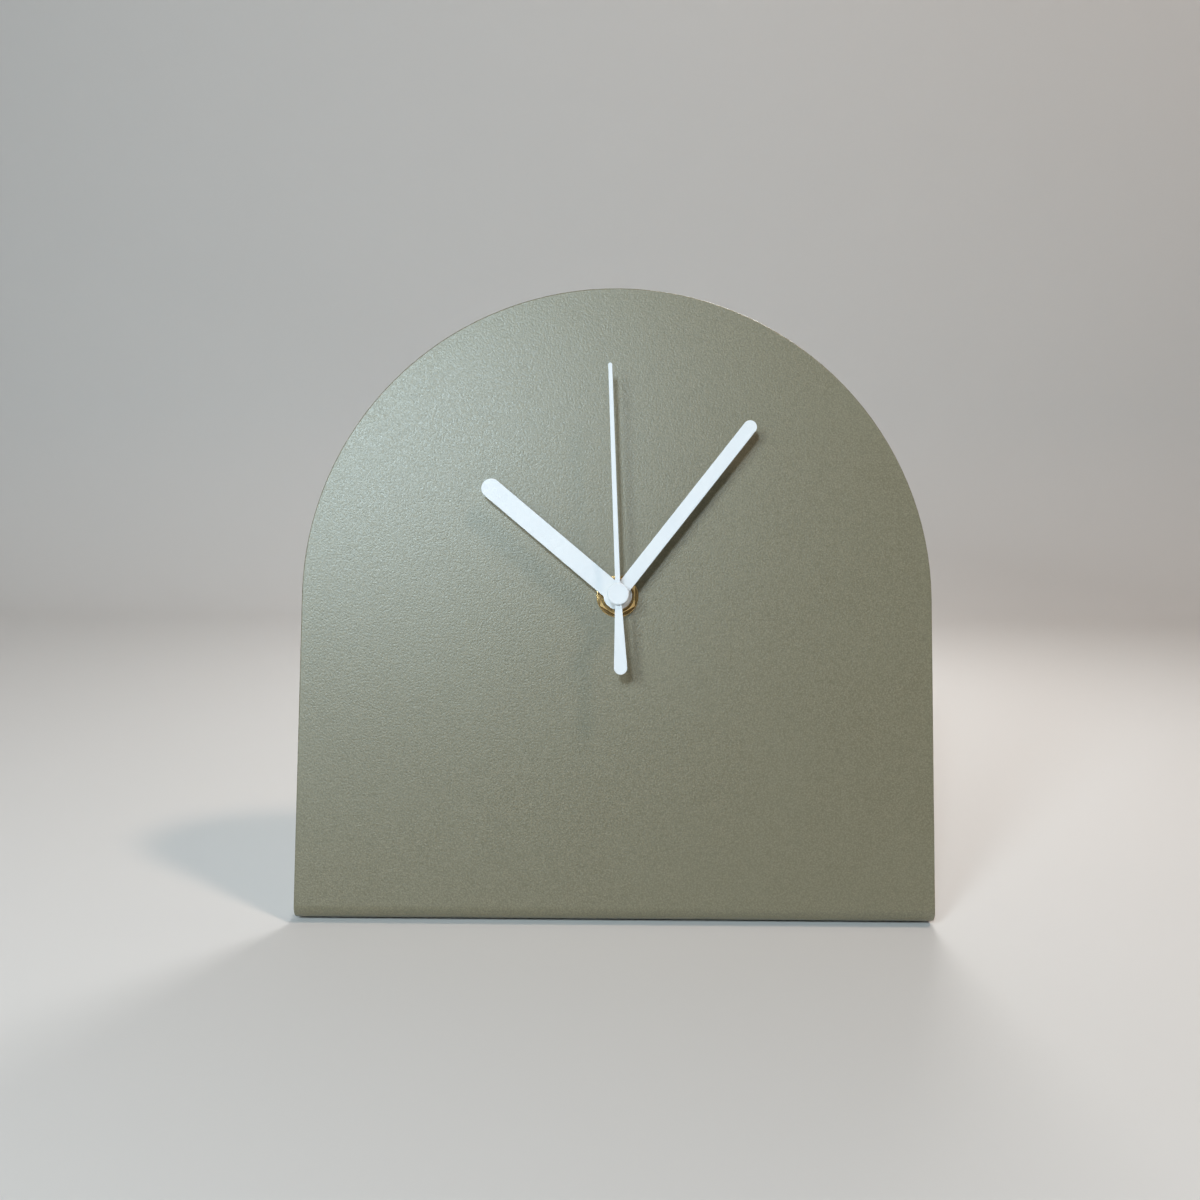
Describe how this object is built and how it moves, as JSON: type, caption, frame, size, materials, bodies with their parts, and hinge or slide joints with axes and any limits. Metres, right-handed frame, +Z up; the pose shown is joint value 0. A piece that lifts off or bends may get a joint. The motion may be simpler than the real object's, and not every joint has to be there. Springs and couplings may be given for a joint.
{
  "type": "shelf clock",
  "caption": "Shelf clock on one bent sheet: arched leaning face, flat foot, plain hands, hidden battery quartz works with gear train and setting knob.",
  "frame": {"origin": "under the middle of the foot, on the surface that the clock stands on", "axes": "+Z up, the face looks towards -Y, +X to the right seen from the front"},
  "size_m": [0.2, 0.07, 0.1965],
  "materials": {
    "sage_powder_coat": "matt sage green powder coat with a fine sandy texture",
    "white_enamel": "smooth satin white enamel",
    "brass": "turned, bright",
    "black_rubber": "matt",
    "black_case_plastic": "fine spark-eroded grain",
    "knob_plastic": "satin",
    "natural_plastic": "natural moulded acetal",
    "spring_steel": "bright drawn",
    "magnet_iron": "sintered",
    "soft_iron": "annealed sheet",
    "copper_wire": "enamelled fine wire",
    "circuit_board": "phenolic paper board",
    "chip_resin": "cast resin",
    "crystal_can": "drawn can",
    "battery_jacket": "plain shrunk sleeve with bare steel ends",
    "nickel_strip": "nickel plated spring strip"
  },
  "bodies": {
    "root": {"face_stand": "sage_powder_coat", "foot_pads": "black_rubber", "case_gasket": "black_rubber", "dial_washer": "brass", "hex_nut": "brass", "threaded_bush": "brass", "movement_case": "black_case_plastic", "rear_cover": "black_case_plastic", "middle_plate": "natural_plastic", "train_bridge": "natural_plastic", "stator_plate": "soft_iron", "coil_core": "soft_iron", "coil_bobbin": "natural_plastic", "coil_winding": "copper_wire", "circuit_board": "circuit_board", "chip_blob": "chip_resin", "quartz_crystal": "crystal_can", "battery_positive_contact": "nickel_strip", "battery_negative_contact": "nickel_strip"},
    "second_works": {"seconds_wheel": "natural_plastic", "second_arbor": "spring_steel", "second_hand": "white_enamel", "second_hand_collet": "brass", "second_hand_cap": "white_enamel"},
    "minute_works": {"minute_arbor": "natural_plastic", "clutch_spring": "spring_steel", "minute_hand": "white_enamel", "minute_hand_collet": "brass"},
    "hour_works": {"hour_wheel": "natural_plastic", "hour_hand": "white_enamel", "hour_hand_collet": "brass"},
    "motion_wheel": {"minute_wheel": "natural_plastic"},
    "knob": {"setting_knob": "knob_plastic", "setting_pinion": "natural_plastic"},
    "centre_gear": {"centre_wheel": "natural_plastic"},
    "third_gear": {"third_wheel": "natural_plastic"},
    "intermediate_gear": {"intermediate_wheel": "natural_plastic"},
    "rotor": {"rotor_magnet": "magnet_iron", "rotor_pinion": "natural_plastic"},
    "battery": {"battery_cell": "battery_jacket"}
  },
  "joints": [
    {"name": "second_hand_turn", "type": "hinge", "parent": "root", "child": "second_works", "pos_m": [0, -0.00968, 0.10001], "axis": [0, 0.9659, -0.2588], "continuous": true},
    {"name": "minute_hand_turn", "type": "hinge", "parent": "root", "child": "minute_works", "pos_m": [0, -0.00968, 0.10001], "axis": [0, 0.9659, -0.2588], "continuous": true},
    {"name": "hour_hand_turn", "type": "hinge", "parent": "root", "child": "hour_works", "pos_m": [0, -0.00968, 0.10001], "axis": [0, 0.9659, -0.2588], "continuous": true},
    {"name": "minute_wheel_turn", "type": "hinge", "parent": "root", "child": "motion_wheel", "pos_m": [0.00939, -0.0102, 0.09808], "axis": [0, 0.9659, -0.2588], "continuous": true},
    {"name": "setting_knob_turn", "type": "hinge", "parent": "root", "child": "knob", "pos_m": [0.01918, -0.00902, 0.10249], "axis": [0, 0.9659, -0.2588], "continuous": true},
    {"name": "centre_wheel_turn", "type": "hinge", "parent": "root", "child": "centre_gear", "pos_m": [0, -0.00968, 0.10001], "axis": [0, 0.9659, -0.2588], "continuous": true},
    {"name": "third_wheel_turn", "type": "hinge", "parent": "root", "child": "third_gear", "pos_m": [0.0051, -0.0074, 0.10854], "axis": [0, 0.9659, -0.2588], "continuous": true},
    {"name": "intermediate_wheel_turn", "type": "hinge", "parent": "root", "child": "intermediate_gear", "pos_m": [-0.00779, -0.00852, 0.10435], "axis": [0, 0.9659, -0.2588], "continuous": true},
    {"name": "rotor_turn", "type": "hinge", "parent": "root", "child": "rotor", "pos_m": [-0.00925, -0.00638, 0.11234], "axis": [0, 0.9659, -0.2588], "continuous": true},
    {"name": "battery_slide", "type": "slide", "parent": "root", "child": "battery", "axis": [0, 0.9659, -0.2588], "range_m": [0, 0.03]}
  ],
  "couplings": [
    {"joint": "hour_hand_turn", "follows": "minute_hand_turn", "ratio": 0.083333},
    {"joint": "minute_wheel_turn", "follows": "minute_hand_turn", "ratio": -0.33333},
    {"joint": "setting_knob_turn", "follows": "minute_hand_turn", "ratio": 0.66667},
    {"joint": "third_wheel_turn", "follows": "second_hand_turn", "ratio": -0.13333},
    {"joint": "centre_wheel_turn", "follows": "second_hand_turn", "ratio": 0.016667},
    {"joint": "intermediate_wheel_turn", "follows": "second_hand_turn", "ratio": -5},
    {"joint": "rotor_turn", "follows": "second_hand_turn", "ratio": 30}
  ]
}
